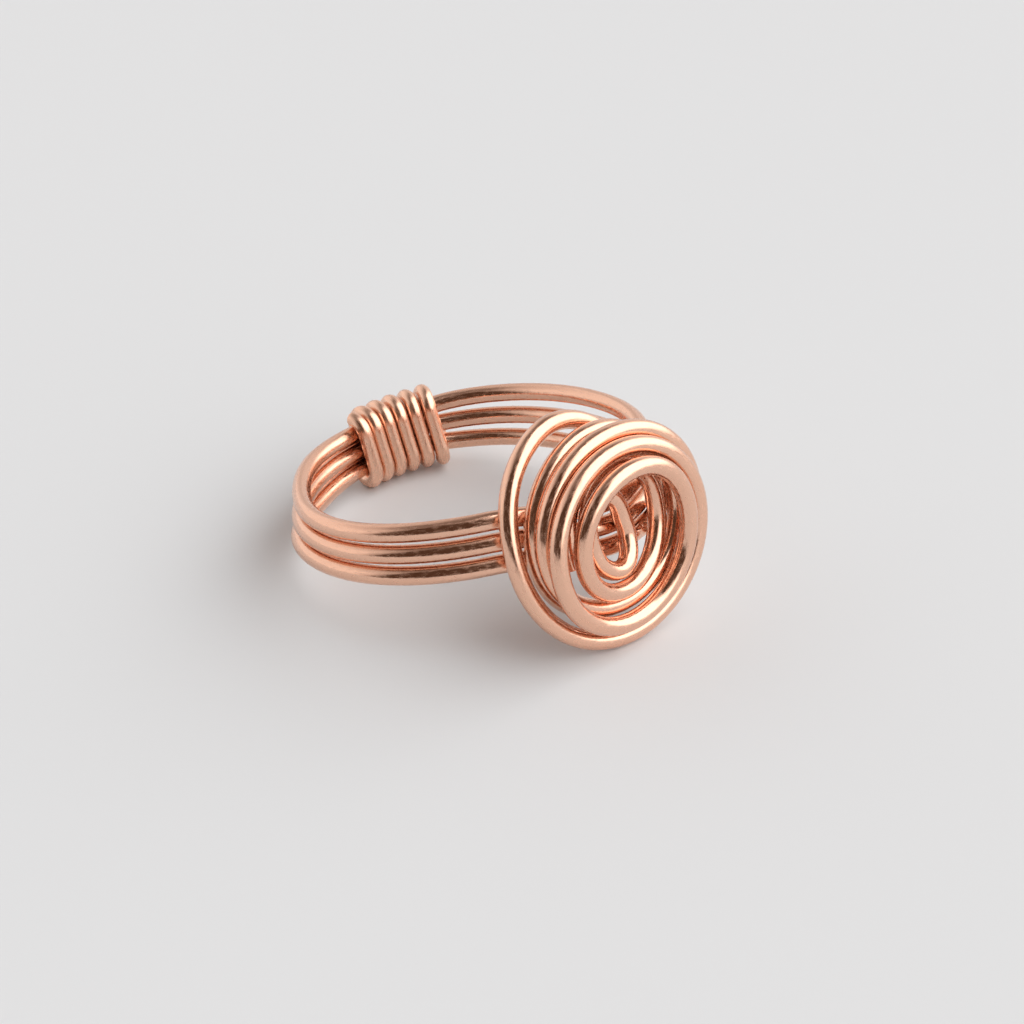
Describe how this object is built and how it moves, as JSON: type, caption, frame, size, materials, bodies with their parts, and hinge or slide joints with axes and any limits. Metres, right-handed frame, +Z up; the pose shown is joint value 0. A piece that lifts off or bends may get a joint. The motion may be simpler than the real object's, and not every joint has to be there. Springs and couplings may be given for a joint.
{
  "type": "copper wire coil ring",
  "caption": "Finger ring wound from bare copper wire: a stacked wire shank with an open coiled rosette in front and a thin wire binding behind.",
  "frame": {"origin": "on the floor, under the middle of the ring's outline as it lies", "axes": "+X towards the rosette, +Z up from the floor; the finger's axis leans back from +Z"},
  "size_m": [0.0248, 0.0208, 0.0125],
  "materials": {
    "copper_wire": "bare drawn copper, satin, fine lengthwise grain",
    "binding_wire": "bare drawn copper, satin, fine lengthwise grain"
  },
  "bodies": {
    "root": {"shank_wire": "copper_wire", "rosette_front_wire": "copper_wire", "rosette_back_wire": "copper_wire", "binding_wire": "binding_wire"}
  },
  "joints": []
}
